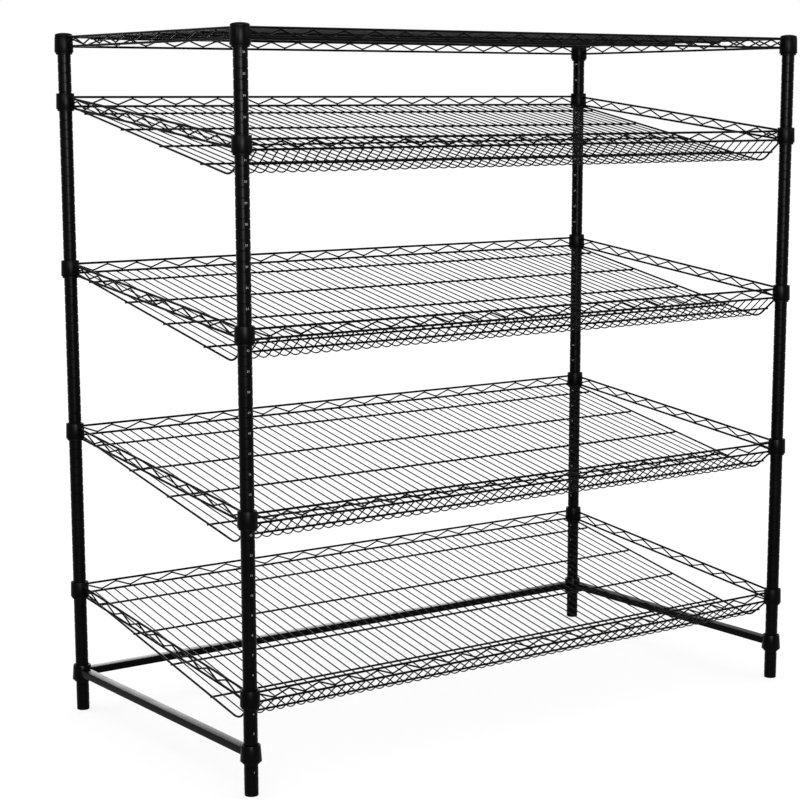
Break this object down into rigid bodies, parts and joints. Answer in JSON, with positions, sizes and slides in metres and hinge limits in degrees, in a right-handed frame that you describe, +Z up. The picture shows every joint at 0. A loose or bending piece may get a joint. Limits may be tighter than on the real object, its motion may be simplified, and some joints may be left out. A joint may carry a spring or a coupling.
{
  "type": "bakery bread rack",
  "caption": "Free-standing wire bread rack: grooved posts carry slanted wire shelves with a raised front lip, a flat top shelf and an open-front base frame on levelling feet.",
  "frame": {"origin": "on the floor under the middle of the rack", "axes": "+X to the right along the front, +Y to the back, +Z up"},
  "size_m": [1.4954, 0.7754, 1.5051],
  "materials": {
    "post_coat": "semi-gloss black epoxy",
    "wire_coat": "semi-gloss black epoxy",
    "black_plastic": "satin black"
  },
  "bodies": {
    "rack": {"post_front_left": "post_coat", "post_front_right": "post_coat", "post_back_left": "post_coat", "post_back_right": "post_coat", "cap_front_left": "black_plastic", "cap_front_right": "black_plastic", "cap_back_left": "black_plastic", "cap_back_right": "black_plastic", "base_frame": "post_coat", "shelf_1_front_truss": "wire_coat", "shelf_1_back_truss": "wire_coat", "shelf_1_left_truss": "wire_coat", "shelf_1_right_truss": "wire_coat", "shelf_1_deck": "wire_coat", "shelf_2_front_truss": "wire_coat", "shelf_2_back_truss": "wire_coat", "shelf_2_left_truss": "wire_coat", "shelf_2_right_truss": "wire_coat", "shelf_2_deck": "wire_coat", "shelf_3_front_truss": "wire_coat", "shelf_3_back_truss": "wire_coat", "shelf_3_left_truss": "wire_coat", "shelf_3_right_truss": "wire_coat", "shelf_3_deck": "wire_coat", "shelf_4_front_truss": "wire_coat", "shelf_4_back_truss": "wire_coat", "shelf_4_left_truss": "wire_coat", "shelf_4_right_truss": "wire_coat", "shelf_4_deck": "wire_coat", "top_frame": "wire_coat", "top_deck": "wire_coat", "sleeve_base_front_left": "black_plastic", "sleeve_base_front_right": "black_plastic", "sleeve_base_back_left": "black_plastic", "sleeve_base_back_right": "black_plastic", "sleeve_shelf_1_front_left": "black_plastic", "sleeve_shelf_1_front_right": "black_plastic", "sleeve_shelf_1_back_left": "black_plastic", "sleeve_shelf_1_back_right": "black_plastic", "sleeve_shelf_2_front_left": "black_plastic", "sleeve_shelf_2_front_right": "black_plastic", "sleeve_shelf_2_back_left": "black_plastic", "sleeve_shelf_2_back_right": "black_plastic", "sleeve_shelf_3_front_left": "black_plastic", "sleeve_shelf_3_front_right": "black_plastic", "sleeve_shelf_3_back_left": "black_plastic", "sleeve_shelf_3_back_right": "black_plastic", "sleeve_shelf_4_front_left": "black_plastic", "sleeve_shelf_4_front_right": "black_plastic", "sleeve_shelf_4_back_left": "black_plastic", "sleeve_shelf_4_back_right": "black_plastic", "sleeve_top_front_left": "black_plastic", "sleeve_top_front_right": "black_plastic", "sleeve_top_back_left": "black_plastic", "sleeve_top_back_right": "black_plastic"},
    "foot_front_left_body": {"foot_front_left": "black_plastic"},
    "foot_front_right_body": {"foot_front_right": "black_plastic"},
    "foot_back_left_body": {"foot_back_left": "black_plastic"},
    "foot_back_right_body": {"foot_back_right": "black_plastic"}
  },
  "joints": [
    {"name": "foot_front_left_adjust", "type": "slide", "parent": "rack", "child": "foot_front_left_body", "axis": [0, 0, 1], "range_m": [-0.02, 0]},
    {"name": "foot_front_right_adjust", "type": "slide", "parent": "rack", "child": "foot_front_right_body", "axis": [0, 0, 1], "range_m": [-0.02, 0]},
    {"name": "foot_back_left_adjust", "type": "slide", "parent": "rack", "child": "foot_back_left_body", "axis": [0, 0, 1], "range_m": [-0.02, 0]},
    {"name": "foot_back_right_adjust", "type": "slide", "parent": "rack", "child": "foot_back_right_body", "axis": [0, 0, 1], "range_m": [-0.02, 0]}
  ]
}
